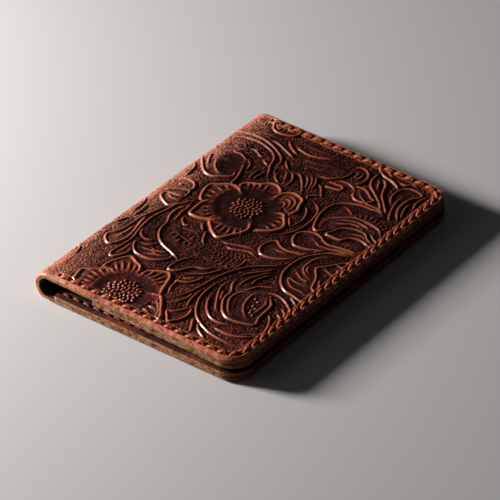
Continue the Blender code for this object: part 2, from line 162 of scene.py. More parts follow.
LINES = [
    # round the bloom near the head
    [(-38, 39.6), (-33, 40.3), (-30.6, 40.8), (-27.6, 41.2), (-24.2, 40.9), (-20.9, 39.9), (-17.6, 38.3),
     (-14.7, 36.2), (-13.4, 34), (-13, 31.6)],
    [(-36, 37), (-32.8, 37.4), (-30.5, 38.4), (-26.8, 39), (-23.4, 38.7), (-20.1, 37.7), (-17.2, 35.8),
     (-15.6, 33.2), (-14.9, 30.8), (-13.6, 28.6), (-11.8, 25.4), (-9.4, 23.6)],
    [(-24, 42.3), (-20.5, 42), (-16.8, 40.6), (-13, 39), (-10.7, 38)],
    [(-25.6, 34.4), (-23.6, 34.7), (-22, 34), (-20.3, 33.1), (-18.4, 33.8)],
    [(-18.8, 32.2), (-16.8, 31), (-15.3, 30.6)],
    [(-30.1, 23.8), (-28.4, 20.8), (-26.8, 19.2), (-24.4, 17.9)],
    [(-33.4, 25.8), (-31.8, 22.1), (-29.8, 18.8)],
    [(-29, 31.3), (-27.6, 30), (-25.9, 30.3), (-23, 29), (-21.9, 26.9)],
    [(-22.2, 29.2), (-20.1, 27.5), (-19, 24.2)],
    [(-16.3, 27.1), (-16.4, 24), (-16, 21.3)],
    [(-14, 27.1), (-14.6, 24.2), (-14.5, 21.7)],
    [(-36.4, 20.4), (-34.9, 18.8), (-33, 16.5), (-32.3, 13.8), (-32.2, 10.4)],
    [(-26.5, 49.6), (-25, 48.6), (-23.8, 49.9)],
    [(-22.6, 51.2), (-21.4, 49.4), (-20, 50.2)],
    # head
    [(-15.9, 45), (-14.2, 44), (-12.6, 43.2), (-8.4, 42.6), (-5.1, 43.5), (-2.6, 44.8), (-0.4, 46.4)],
    [(-1.3, 36), (0.8, 35.6), (3.3, 36.2), (5.3, 37.9), (6.8, 40), (7.1, 42.5), (6.5, 45.2)],
    [(5.5, 36.8), (8.2, 37.5), (9.9, 37.6), (12.2, 36.7), (13.5, 35)],
    [(-18.6, 45.4), (-16.4, 43.2), (-14, 41.6), (-11.4, 40.6)],
    [(8.6, 44.4), (9.2, 43), (8.7, 41.4)],
    [(10.4, 44.2), (10.7, 42.4), (10.1, 40.8)],
    # feathers over the large flower
    [(-11.1, 29.6), (-10.7, 27.9), (-9.3, 26.2), (-7, 25)],
    [(-8, 32.4), (-6.3, 30.8), (-5.1, 29), (-4.7, 26.3), (-5, 24.4)],
    [(-8.7, 31.2), (-7.7, 29.2), (-6.8, 27.2)],
    [(-12.6, 36), (-11.3, 34.2), (-9.2, 32.5)],
    [(-7.2, 32.7), (-4.7, 32.3), (-2.6, 30.4), (-0.9, 28.3), (0.8, 25.8), (1.6, 24.2)],
    [(-3.3, 33.7), (-1.4, 31.8), (0, 29.4), (0.7, 27.2)],
    [(-1.9, 34.4), (-0.1, 32.4), (1.1, 30), (1.7, 27.5)],
    [(-0.4, 34.6), (1.1, 32.7), (2, 30.6), (2.3, 28.2)],
    [(2.2, 32.3), (4.1, 31), (5.3, 29.6), (6.4, 27.9), (7.9, 26.6)],
    [(6.8, 27.4), (4.6, 26), (3.7, 24.7), (4.8, 23.4)],
    # arcs on the flower's fore side
    [(4.9, 24.5), (7.4, 23.5), (9.9, 21.7), (11.4, 19.2), (12.1, 15.8), (12.2, 11.7), (11.4, 7.9),
     (9.9, 5.4), (7.4, 3.5)],
    [(5.7, 20.4), (7.8, 19), (9.1, 16.7), (9.8, 14.4), (9.8, 12.3), (8.9, 9.1)],
    [(5.7, 13), (7.2, 11), (8.8, 9.2)],
    # arcs inside the flower's fore petal
    [(-1.6, 20.6), (0.8, 21.3), (3, 19.8), (3.8, 17), (3.4, 14.6)],
    [(-1.2, 19), (0.8, 19.6), (2.2, 18), (2.5, 15.6)],
    [(-0.8, 17.4), (0.5, 17.7), (1.3, 16.7), (1.3, 15)],
    # veins of the leaves at the head corner
    [(16.2, 44.8), (17.2, 42.5), (18.3, 40.6)],
    [(14.5, 36.7), (16.2, 34.6), (18.3, 33.3), (20.1, 32.4), (23.7, 32.4), (25.8, 31.9), (28.3, 30.4)],
    [(26.5, 42.5), (26.8, 38.3), (27.8, 34.6), (29.5, 30.8), (31.6, 28.7)],
    [(31, 41.3), (30.5, 38.3), (31.4, 35), (33, 31.8)],
    [(13.7, 52.9), (15.3, 50.8), (17, 49.2), (19.1, 48.7)],
    [(21, 47.8), (23.6, 47.4), (25.4, 49), (27.6, 48.8)],
    [(33.2, 47.4), (32, 44.4), (31.8, 41.6), (32.8, 38)],
    # acanthus veins
    [(15.5, 15.4), (15.5, 18.3), (16.6, 20.6), (18.7, 22.3), (20.3, 23.7), (22.4, 24.5), (25.3, 24.7),
     (28.7, 24.4), (31.2, 23.5), (32.8, 21.7), (34.7, 18.8)],
    [(18, 20.2), (20.3, 21.7), (23.7, 22.9), (26.6, 22.7), (29.4, 22)],
    [(17.6, 18.5), (19.9, 19.2), (22, 20.7), (24.1, 21.5), (27, 21.3)],
    [(25.1, 16.3), (27, 17.6), (29.1, 17.8), (31, 17)],
    [(29.6, 21.2), (31.6, 19.4), (33.7, 18.1), (36, 16.2)],
    [(16.4, 27.1), (18.3, 26.2), (20.3, 25)],
    # inside the two round buds
    [(17.8, 8.5), (19.5, 7.5), (21.6, 6.4), (24.1, 6.7), (28, 7.6), (33, 8.4)],
    [(12.2, -2.6), (14, -3), (16, -2.6)],
    [(24.8, 6.8), (28, 8.3), (33.6, 9.2)],
    # stems from the scroll to the foot
    [(24.6, 5.7), (22.6, 3.4), (22.2, 2.4)],
    [(19.6, -3.2), (18.9, -7.5), (16.6, -10), (13.7, -12.3), (11.2, -15), (9.5, -18), (7.8, -22),
     (7, -25.7), (6.2, -30.7), (5.3, -34.8), (3.7, -38.6), (2, -41.4)],
    [(18.9, -9.6), (17, -12.9), (14.9, -15.4), (13, -17.9), (12.2, -20.7)],
    [(19.7, -11.5), (17.8, -13.8), (16.2, -16.7), (15.1, -19.6), (14.8, -22.4), (15.3, -25.2)],
    [(19.9, -13.4), (18.2, -15.6), (17.2, -18.4), (17.4, -20.6), (16.6, -22)],
    [(10.3, -20.7), (9.9, -23.2), (9.1, -26.5), (8.9, -30.7), (9.5, -34.8), (11.2, -38.6), (13.7, -41.9),
     (16.6, -44), (20.3, -45.7), (23.7, -46.6), (28.7, -46.9), (34, -46.6)],
    [(11, -24.8), (11.4, -27.8), (12.8, -30.7), (14.5, -33.6), (16, -35.8), (18, -37.4)],
    [(11, -30), (11.6, -33.2), (13.3, -36.5), (15.8, -39.2), (18.7, -40.7), (21.6, -40.8), (24.5, -39.5),
     (25.8, -38)],
    [(12.8, -27.5), (13.6, -30), (14.9, -32.3)],
    [(16.6, -44.6), (17.8, -46.5), (20.3, -48.2), (22.8, -49.5)],
    [(20.1, -42.5), (22.4, -43.6), (26.6, -43.7), (30.3, -42.3), (33.9, -39.2)],
    [(13.8, -43.6), (15.6, -46.4), (17.2, -49.4)],
    # round the fore-edge flower
    [(29.1, -1.7), (32, -2.7), (34.5, -3.7)],
    [(32.8, 0.2), (34, -1.2), (35, -2.6)],
    [(31.8, -6.7), (32.8, -8.8), (34.6, -10.8)],
    [(23.3, -7.3), (25.3, -8.8), (27, -9.8), (29.1, -10), (29.6, -11.3)],
    [(31.6, -11.5), (29.1, -12), (26.4, -12.1), (24.3, -11.5), (24.6, -12.7), (26.2, -14.2), (28.3, -15),
     (30.8, -14.9), (32.4, -15.4), (34.6, -15)],
    [(26.8, 3.4), (24.9, 0.8), (24.3, -2.1), (24.5, -5), (26.6, -7.4), (29.4, -8.6)],
    [(25.3, -3.6), (25.8, -5.2), (27, -6.4)],
    [(30.8, 2.2), (32.6, 1.6), (34.8, 1.6)],
    # the foot corner's bloom
    [(22.4, -21.8), (24.5, -20.8), (27, -20.5), (30.3, -21.5), (33.7, -24), (36, -26.6)],
    [(19.8, -24.2), (18.2, -24.5), (16.7, -26.8), (16.6, -29.8), (17.8, -32.3), (19.9, -35), (21.6, -36)],
    [(21.8, -22.6), (20.8, -23.8), (20.8, -26.5), (21.6, -29.8), (23.7, -32.8), (26.6, -35)],
    [(25.2, -23.6), (26.4, -26), (26.6, -29), (26.2, -31.8)],
    [(31.2, -27), (33.7, -28.8), (35.6, -31.4)],
    [(29.3, -29), (31.6, -30.7), (33.3, -34), (34.4, -37.4)],
    [(24.9, -17.8), (22, -19), (19.5, -20.7), (18.3, -23.2), (16, -25.3)],
    [(29.7, -18.6), (33.7, -20.9)],
    [(31, -24.4), (33.4, -26.2), (35.2, -28.6)],
    # below the flower and at the foot
    [(-9.5, -7.9), (-8.4, -10), (-7.2, -12.2), (-5.6, -13.6)],
    [(-3.2, -8.8), (-1.1, -9.2), (1.2, -8.5), (3.7, -7.5), (6.2, -6.8), (8.2, -6.8)],
    [(-0.7, -9.7), (1.6, -10.6), (3.7, -10), (5.8, -9), (7.8, -8.5), (10.5, -9.2)],
    [(7, -18.6), (5.8, -21.1), (4.1, -24.4), (1.6, -26.5), (-0.5, -28.2), (-1.4, -29.3)],
    [(2.8, -27.8), (1.6, -29.4), (-0.2, -30.6)],
    [(6.2, -34.2), (6.7, -36.5), (6, -39), (4.7, -40.9)],
    [(7.4, -30.9), (7.6, -34.8), (8.2, -38.2), (9.2, -40.8)],
    [(-0.5, -42.6), (2, -44.9), (4.1, -47.3), (5.3, -50.3)],
    [(-1.2, -30.4), (-0.6, -33.2), (-0.3, -36), (1, -38.6)],
    [(8.8, -12.4), (9.2, -15.2), (8.4, -18.2)],
    # veins of the leaves beside the spine
    [(-27.7, -19.4), (-27.8, -22.3), (-28.5, -26)],
    [(-22.9, -26.4), (-22.8, -29.4), (-23.2, -31.8)],
    [(-25.3, -18), (-23.8, -20.7), (-21.8, -22), (-19.7, -21.7), (-18, -20.2)],
    [(-21.8, -23.9), (-19.7, -24.3), (-18, -23.4), (-16.5, -21.6)],
    [(-17, -24), (-15.5, -25), (-13.4, -24.4), (-11.5, -23)],
    [(-20.3, -26), (-18, -26), (-15.6, -25.6), (-13.4, -26.4), (-10.9, -25)],
    [(-16.4, -27.6), (-13.4, -26.5)],
    [(-21.3, 0.8), (-21, -2.5), (-21, -5), (-20.3, -8.3), (-20.6, -10.8)],
    [(-29.8, 0.2), (-28, -0.9), (-25.6, -0.4)],
    [(-26, 5.6), (-25.4, 3.8), (-25.6, 2.2)],
    [(-19.4, -5.8), (-18.2, -8), (-16.4, -9.4), (-14.4, -8.4)],
    [(-13, -5.2), (-11.6, -7), (-10.2, -8.2)],
    # what runs over the spine
    [(-31.8, -15.8), (-33, -18.4), (-34.4, -20.8), (-38, -24)],
    [(-36, -4), (-33.8, -6.6), (-33.2, -10), (-33.2, -13.7)],
    [(-31.6, -8), (-31.3, -11.4), (-31.6, -15)],
    [(-41, -34), (-37, -35), (-34.4, -36.4), (-33.2, -38.6), (-33, -41)],
    [(-43, 3), (-40, 2.4), (-36.8, 0.6), (-34.2, -0.2), (-33, 0.6)],
    [(-45, 30), (-40, 31.6), (-36, 30.6), (-33.8, 28.2)],
    [(-44, 12), (-40, 13.4), (-37, 16), (-35.4, 18.6)],
    [(-45, -46), (-40, -44), (-37, -45.6), (-35, -48)],
]

# Lower and thinner lines, given in the same way
FAINT = [
    [(-18.6, -11.4), (-14.7, -10.7), (-12.2, -10.2), (-10.3, -10.6), (-8, -12.4)],
    [(-17.6, -12.8), (-14.7, -14), (-11.8, -14.7), (-8.8, -15.4), (-5.6, -15.8)],
    [(-14.8, 47.6), (-11, 46.4), (-7, 46.6), (-3, 48)],
    [(-11, 41), (-7.4, 40), (-3.6, 40.6), (0.4, 42), (3.4, 44.4)],
    [(-8.6, 37.2), (-4.6, 38), (-1, 38.6), (2.6, 40.6)],
    [(-18, 47.2), (-15, 48.6), (-11.6, 49.6)],
    [(-29, 43.6), (-25, 44.4), (-21.4, 44)],
    [(-30.4, 34.8), (-28.4, 35.6), (-26.8, 34.2)],
    [(-12.6, 31.4), (-12, 29), (-10.4, 27.4)],
    [(-3, -18), (-0.4, -18.8), (2.4, -18.4)],
]

# Fans of short strokes: middle of the fan, how far its strokes start and end, first and last angle, count
FANS = [
    (-7, 8.6, 11.0, 15.0, 155, 188, 4),
    (-7, 8.6, 10.2, 13.6, 214, 242, 4),
    (-7, 8.6, 10.8, 15.2, 266, 300, 5),
    (-7, 8.6, 10.4, 14.0, -20, 12, 4),
    (-7, 8.6, 10.6, 14.4, 98, 124, 4),
    (-10, -46, 9.8, 15.0, 112, 138, 4),
    (-10, -46, 9.8, 15.2, 58, 84, 4),
    (-10, -46, 9.4, 14.4, 152, 192, 5),
    (-10, -46, 9.2, 14.4, -16, 18, 4),
    (-23, 54.4, 4.6, 6.8, 240, 300, 5),
    (26.6, 18.4, 7.6, 9.6, 52, 128, 8),
    (-25.6, 25, 4.8, 6.4, 150, 196, 5),
    (30.5, -3, 1.8, 3.2, -40, 40, 4),
    (-10.2, 2, 17.4, 19.2, 250, 280, 6),
    (-9.6, 2, 14.4, 15.6, 254, 280, 5),
    (1.8, 4, 18.4, 19.8, 258, 286, 7),
    (1.8, 4, 21.4, 22.8, 262, 290, 7),
    (1.8, 4, 15.8, 17.0, 276, 296, 5),
]

# Clusters of seeds: middle, radius of the cluster
SEEDS = [
    (-7, 8.8, 5.1), (-10, -46.2, 5.6), (-31, 6.6, 1), (23.4, -26.4, 1.3), (24.8, -29.4, 1.5),
    (26, -32.4, 1.2),
]
DISCS = [(-7, 8.6, 10.6), (-10, -46, 9.6), (-25.5, 25.5, 6.4)]  # smooth ground round the seeds

RIDGE, RIDGE_WIDTH = 0.52, 0.56
GROUND, DISHED = -0.46, -0.24  # how deep the stippled ground and the insides of the shapes lie
PEBBLE = 0.8  # size of the stipple
random = np.random.default_rng(7)
LATTICE = random.random((256, 256))


def smooth(low, high, x):
    t = np.clip((x - low) / (high - low), 0, 1)
    return t * t * (3 - 2 * t)


def noise(x, y, size, octaves=3):
    """Smooth value noise from -1 to 1, its coarsest waves this size."""
    total, weight = 0.0, 0.0
    for k in range(octaves):
        u, v = x / size * 2**k + 17.3 * k, y / size * 2**k + 9.1 * k
        i, j = np.floor(u).astype(int), np.floor(v).astype(int)
        fu, fv = smooth(0, 1, u - i), smooth(0, 1, v - j)
        a, b = LATTICE[i % 256, j % 256], LATTICE[(i + 1) % 256, j % 256]
        c, d = LATTICE[i % 256, (j + 1) % 256], LATTICE[(i + 1) % 256, (j + 1) % 256]
        total = total + ((a * (1 - fu) + b * fu) * (1 - fv) + (c * (1 - fu) + d * fu) * fv) / 2**k
        weight += 1 / 2**k
    return 2 * total / weight - 1


def pebbles(x, y, size):
    """Rounded bumps from 0 to 1, one to each jittered cell."""
    u, v = x / size, y / size
    i, j = np.floor(u).astype(int), np.floor(v).astype(int)
    nearest = np.full(u.shape, 9.0)
    for a in (-1, 0, 1):
        for b in (-1, 0, 1):
            p, q = i + a, j + b
            cu = p + 0.5 + 0.7 * (LATTICE[p % 256, q % 256] - 0.5)
            cv = q + 0.5 + 0.7 * (LATTICE[(p + 91) % 256, (q + 37) % 256] - 0.5)
            nearest = np.minimum(nearest, (u - cu) ** 2 + (v - cv) ** 2)
    return np.clip(1 - nearest / 0.32, 0, 1)


def spline(points, step=0.5):
    """A Catmull-Rom curve through the points."""
    p = np.array(points, float)
    p = np.vstack([2 * p[0] - p[1], p, 2 * p[-1] - p[-2]])
    out = []
    for a, b, c, d in zip(p, p[1:], p[2:], p[3:]):
        n = max(2, int(np.linalg.norm(c - b) / step))
        t = np.linspace(0, 1, n, endpoint=False)[:, None]
        bend, twist = 2 * a - 5 * b + 4 * c - d, 3 * b - a - 3 * c + d
        out.append(0.5 * (2 * b + (c - a) * t + bend * t**2 + twist * t**3))
    out.append(p[-2][None])
    return np.vstack(out)


def to_line(x, y, line):
    """Each point's distance to the line, and how far along it the nearest place is, from 0 to 1."""
    best, along = np.full(x.shape, 1e9), np.zeros(x.shape)
    legs = np.linalg.norm(np.diff(line, axis=0), axis=1)
    run = np.concatenate([[0], np.cumsum(legs)])
    for k, (a, b) in enumerate(zip(line, line[1:])):
        leg = b - a
        t = np.clip(((x - a[0]) * leg[0] + (y - a[1]) * leg[1]) / max(leg @ leg, 1e-12), 0, 1)
        d = (x - a[0] - t * leg[0]) ** 2 + (y - a[1] - t * leg[1]) ** 2
        closer = d < best
        best[closer] = d[closer]
        along[closer] = (run[k] + t[closer] * legs[k]) / run[-1]
    return np.sqrt(best), along


def inside(x, y, outline):
    found = np.zeros(x.shape, bool)
    for (ax, ay), (bx, by) in zip(outline, np.roll(outline, -1, axis=0)):
        if ay != by:
            found ^= ((ay > y) != (by > y)) & (x < (bx - ax) * (y - ay) / (by - ay) + ax)
    return found


class Pattern:
    """The tooled relief. A stroke is its kind, line, half width, height and how long its ends taper."""

    def __init__(self):
        self.petals = [spline(p) for p in PETALS]
        self.shapes = self.petals + [spline(p) for p in SHAPES]
        self.strokes = [("petal", line, 1.3 * RIDGE_WIDTH, RIDGE, 0.14) for line in self.petals]
        self.strokes += [("leaf", line, RIDGE_WIDTH, RIDGE, 0.14) for line in self.shapes[len(PETALS) :]]
        self.strokes += [("line", spline(p), 0.5, 0.45, 0.45) for p in LINES]
        self.strokes += [("faint", spline(p), 0.42, 0.26, 0.6) for p in FAINT]
        for cx, cy, near, far, first, last, count in FANS:
            high = min(0.46, 0.18 + 0.09 * (far - near))
            for k, angle in enumerate(np.radians(np.linspace(first, last, count))):
                d = np.array([math.cos(angle), math.sin(angle)])
                reach = far - 0.8 * abs(2 * k / (count - 1) - 1)
                line = np.array([cx, cy]) + np.outer(np.linspace(near, reach, 6), d)
                self.strokes.append(("fan", line, 0.58, high, 0.9))
        self.seeds = []
        for cx, cy, r in SEEDS:
            count = int(2.3 * r * r / 1.3)
            for k in range(count):
                a, d = k * 2.39996, r * math.sqrt((k + 0.5) / count)
                self.seeds.append((cx + d * math.cos(a), cy + d * math.sin(a), a))

    def at(self, x, y):
        """Each point's height, how rubbed and glossy it is, and how much of it is stippled ground."""
        disc = np.zeros(x.shape, bool)
        for cx, cy, r in DISCS:
            disc |= (x - cx) ** 2 + (y - cy) ** 2 < r * r
        leaf, petal = disc.copy(), np.zeros(x.shape)
        edge = np.full(x.shape, 9.0)
        for k, line in enumerate(self.shapes):
            near = self.window(x, y, line, 0)
            found = inside(x[near], y[near], line)
            leaf[near] |= found
            if k < len(self.petals):
                petal[near] = np.maximum(petal[near], found)
        petal *= ~disc
        ridge, groove, cuts, rims = (np.zeros(x.shape) for _ in range(4))
        for kind, line, width, height, taper in self.strokes:
            near = self.window(x, y, line, 2.6)
            d, t = to_line(x[near], y[near], line)
            ends = smooth(0, 1, np.minimum(t, 1 - t) / (taper / 2 + 1e-6))
            w = width * (0.55 + 0.45 * ends)
            q = d / w
            raised = height * (0.35 + 0.65 * ends) * np.clip(1 - q * q, 0, 1) ** 1.2
            ridge[near] = np.maximum(ridge[near], raised)
            hollow = cuts if kind == "fan" else groove
            hollow[near] = np.maximum(hollow[near], np.exp(-(((q - 1.45) / 0.5) ** 2)) * ends)
            edge[near] = np.minimum(edge[near], d)
            if kind == "petal":
                rims[near] = np.maximum(rims[near], np.exp(-((d / 0.8) ** 2)))
        for cx, cy, a in self.seeds:
            near = (np.abs(x - cx) < 0.9) & (np.abs(y - cy) < 0.9)
            u = (x[near] - cx) * math.cos(a) + (y[near] - cy) * math.sin(a)
            v = (y[near] - cy) * math.cos(a) - (x[near] - cx) * math.sin(a)
            q = (u / 0.76) ** 2 + (v / 0.56) ** 2
            ridge[near] = np.maximum(ridge[near], 0.44 * np.clip(1 - q, 0, 1) ** 0.75)
            cuts[near] = np.maximum(cuts[near], np.exp(-(((np.sqrt(q) - 1.2) / 0.35) ** 2)))
        ground = np.where(leaf, 0.0, 1.0)
        stipple = pebbles(x, y, PEBBLE) ** 1.3
        tops = stipple**1.6 * np.clip(0.6 + 0.9 * noise(x, y, 1.3), 0, 1.2)
        skirt = np.exp(-edge / 0.7)
        hollow = np.maximum(cuts, groove * (0.25 + 0.75 * ground))
        deep = smooth(0.8, 1.8, edge) * (1 - disc)
        dish = DISHED + 0.32 * np.exp(-edge / 1.0) - 0.16 * smooth(0.6, 3.0, edge) + 0.16 * stipple * deep
        base = np.where(leaf, dish, GROUND + 0.32 * stipple)
        base = base + 0.05 * noise(x, y, 1.9) - 0.2 * hollow * (ridge < 0.12)
        height = np.maximum(base, GROUND * 0.8 + ridge * 1.2)
        plain = (ridge < 0.1).astype(float)
        crest = np.clip(ridge / 0.42, 0, 1)
        shine = 0.42 * crest**0.7 + 0.46 * crest**3 + 0.26 * rims + plain * ground * (0.02 + 0.8 * tops)
        shine += plain * (1 - ground) * (0.02 + 0.36 * skirt + 0.3 * tops * deep + 0.1 * petal)
        shine -= 0.5 * hollow * plain + 0.08 * disc
        return height, np.clip(shine, 0, 1), ground

    @staticmethod
    def window(x, y, line, margin):
        low, high = line.min(0) - margin, line.max(0) + margin
        return np.nonzero((x > low[0]) & (x < high[0]) & (y > low[1]) & (y < high[1]))


PATTERN = Pattern()

# ---------------------------------------------------------------- where leather lies


def place(s, y, h):
    """Points in the row frame, in millimetres, for leather coordinates."""
    turn = math.pi / 2 - TILT - np.clip(s, -FOLD, 0) / RADIUS
    x = SPINE_X + (RADIUS + h) * np.cos(turn)
    z = RADIUS + (RADIUS + h) * np.sin(turn)
    on = np.maximum(s, 0)
    off = np.minimum(s + FOLD, 0)
    x = x + on * math.cos(TILT) - off
    z = z - on * math.sin(TILT)
    return np.stack([x, y, z], -1)


def edge_distance(u, y, reach):
    """How far a place on a cover is from its cut edge."""
    dx, dy = u - (reach - CORNER), np.abs(y) - (LENGTH / 2 - CORNER)
    corner = CORNER - np.hypot(np.maximum(dx, 0), np.maximum(dy, 0))
    return np.where((dx > 0) & (dy > 0), corner, np.minimum(reach - u, LENGTH / 2 - np.abs(y)))


def seam_holes(reach):
    """The stitch holes of a cover and their sideways directions, from the foot round to the head."""
    bend = CORNER - SEAM_INSET
    corner_x = reach - CORNER
    side, turn = corner_x - SEAM_START, bend * math.pi / 2
    total = 2 * (side + turn) + LENGTH - 2 * CORNER

    def station(along):
        if along > total / 2:
            (px, py), (ax, ay) = station(total - along)
            return (px, -py), (ax, -ay)
        angle = min(max(along - side, 0) / bend, math.pi / 2)
        out = (math.sin(angle), -math.cos(angle))
        px = corner_x + out[0] * bend - max(side - along, 0)
        py = -LENGTH / 2 + CORNER + out[1] * bend + max(along - side - turn, 0)
        return (px, py), (-out[0], -out[1])

    runs = round(total / STITCH)
    found = [station(total * i / runs) for i in range(runs + 1)]
    return np.array([f[0] for f in found]), np.array([f[1] for f in found])


HOLES = {"front": seam_holes(FRONT_REACH), "back": seam_holes(REACH)}


def seam_relief(u, y, reach, holes):
    """The channel that the seam lies in, its pits at the holes, and their mask, with which shade is painted
    into the pits.
    """
    distance = edge_distance(u, y, reach) - SEAM_INSET
    run = smooth(SEAM_START - 1.6, SEAM_START - 0.4, u)
    channel = -0.24 * np.exp(-((distance / 0.7) ** 2))
    channel = channel + 0.26 * np.exp(-(((np.abs(distance) - RAIL) / 0.42) ** 2))
    pit = np.zeros(u.shape)
    rim = np.zeros(u.shape)
    for (px, py), (ax, ay) in zip(*holes):
        near = np.nonzero((np.abs(u - px) < 1.7) & (np.abs(y - py) < 1.7))
        du, dy = u[near] - px, y[near] - py
        slant = 0.5
        along, across = du * ay - dy * ax, du * ax + dy * ay
        a = along * math.cos(slant) - across * math.sin(slant)
        b = along * math.sin(slant) + across * math.cos(slant)
        q = np.sqrt((a / 1.0) ** 2 + (b / 0.62) ** 2)
        pit[near] = np.maximum(pit[near], np.clip(1 - q**2.2, 0, 1))
        rim[near] = np.maximum(rim[near], np.exp(-(((q - 1.35) / 0.4) ** 2)))
    return run * channel + 0.12 * rim - 0.85 * pit, pit, run


def side_height(u, v, reach, holes, sunk):
    """One cover's outer face, its relief and what the material reads, on the leather laid out flat."""
    height, shine, ground = PATTERN.at(SPINE_X + u, v)
    edge = edge_distance(u, v, reach)
    border = smooth(0.4, 2.6, edge)
    bold = smooth(-8, 3, u) * 0.72 + 0.28
    height = (-0.14 + 0.13 * noise(u, v, 1.6)) * (1 - border) + height * border
    grain = pebbles(SPINE_X + u, v, PEBBLE) * ground * smooth(20, -30, v)
    height = -0.1 * (1 - bold) + height * bold + 0.22 * (1 - bold) * grain
    seam, pit, run = seam_relief(u, v, reach, holes)
    height = height * (1 - 0.6 * run * np.exp(-(((edge - SEAM_INSET) / 1.1) ** 2))) + seam
    height -= 0.45 * np.clip(1 - edge / 1.1, 0, 1) ** 2 + sunk * smooth(-3.5, -0.2, u)
    rubbed = np.clip(0.46 + 0.8 * noise(u, v, 1.2), 0, 1)
    shine = shine * (0.35 + 0.65 * border) + rubbed * (1 - border)
    # Lighter towards the foot: painted light, falling off towards the head. Lighter also next to the cut
    # edge.
    shine = shine + (0.17 * smooth(-20, -50, v) + 0.2 * smooth(3.4, 1.4, edge)) * (1 - pit)
    shine = shine + (0.3 + 0.5 * rubbed) * np.exp(-(((np.abs(edge - SEAM_INSET) - RAIL) / 0.45) ** 2)) * run
    # The spine: rubbed bare, and lighter also as painted light, where it faces the light.
    worn_and_lit = (1 - smooth(-1, 12, u)) * (0.85 + 0.15 * noise(u, v, 6)) * (1 - 0.22 * smooth(5, -40, v))
    # The stitch pits' colour goes to the darkest: painted shade in the holes.
    return height, np.clip(shine, 0, 1) * (1 - pit), np.clip(worn_and_lit, 0, 1)


def leather_height(s, y):
    """The same anywhere on the outer leather. The sides' patterns meet over the middle of the spine."""
    share = smooth(-2, 2, s + FOLD / 2)
    total = [np.zeros(s.shape) for _ in range(3)]
    sides = ((share, s, y, FRONT_REACH, "front", 0.0), (1 - share, -FOLD - s, -y, REACH, "back", BACK_SUNK))
    for part, u, v, reach, side, sunk in sides:
        if part.max() > 0:
            for k, values in enumerate(side_height(u, v, reach, HOLES[side], sunk)):
                total[k] += part * values
    return total[0], {"shine": total[1], "worn_and_lit": total[2]}


# ---------------------------------------------------------------- meshes


def make_mesh(name, points, quads, polygons=(), attributes=None, kinds=None):
    """A mesh object from points in millimetres. The polygons come after the quads and are flat-shaded."""
    mesh = bpy.data.meshes.new(name)
    sizes = np.concatenate([np.full(len(quads), 4), [len(p) for p in polygons]]).astype(np.int32)
    corners = [quads.ravel(), *[np.asarray(p) for p in polygons]]
    mesh.vertices.add(len(points))
    mesh.vertices.foreach_set("co", (points * MM).astype(np.float32).ravel())
    mesh.loops.add(int(sizes.sum()))
    mesh.loops.foreach_set("vertex_index", np.concatenate(corners).astype(np.int32))
    mesh.polygons.add(len(sizes))
    mesh.polygons.foreach_set("loop_start", (np.cumsum(sizes) - sizes).astype(np.int32))
    mesh.update(calc_edges=True)
    mesh.polygons.foreach_set("use_smooth", sizes * 0 + (np.arange(len(sizes)) < len(quads)))
    if kinds is not None:
        mesh.polygons.foreach_set("material_index", kinds.astype(np.int32))
    for key, values in (attributes or {}).items():
        kind, field = ("FLOAT_VECTOR", "vector") if values.ndim == 2 else ("FLOAT", "value")
        mesh.attributes.new(key, kind, "POINT").data.foreach_set(field, values.astype(np.float32).ravel())
    obj = bpy.data.objects.new(name, mesh)
    bpy.context.scene.collection.objects.link(obj)
    return obj


LIP = 0.16  # how far the outer face stops short of the cut edge, whose corner is rounded
# The cut edge from the outer face down: how far it draws back, and its share of the depth
WALL = [
    (0.05, 0.05), (0.0, 0.16), (0.0, 0.34), (0.0, 0.52), (0.0, 0.70), (0.0, 0.86), (0.04, 0.95),
    (0.14, 1.0),
]


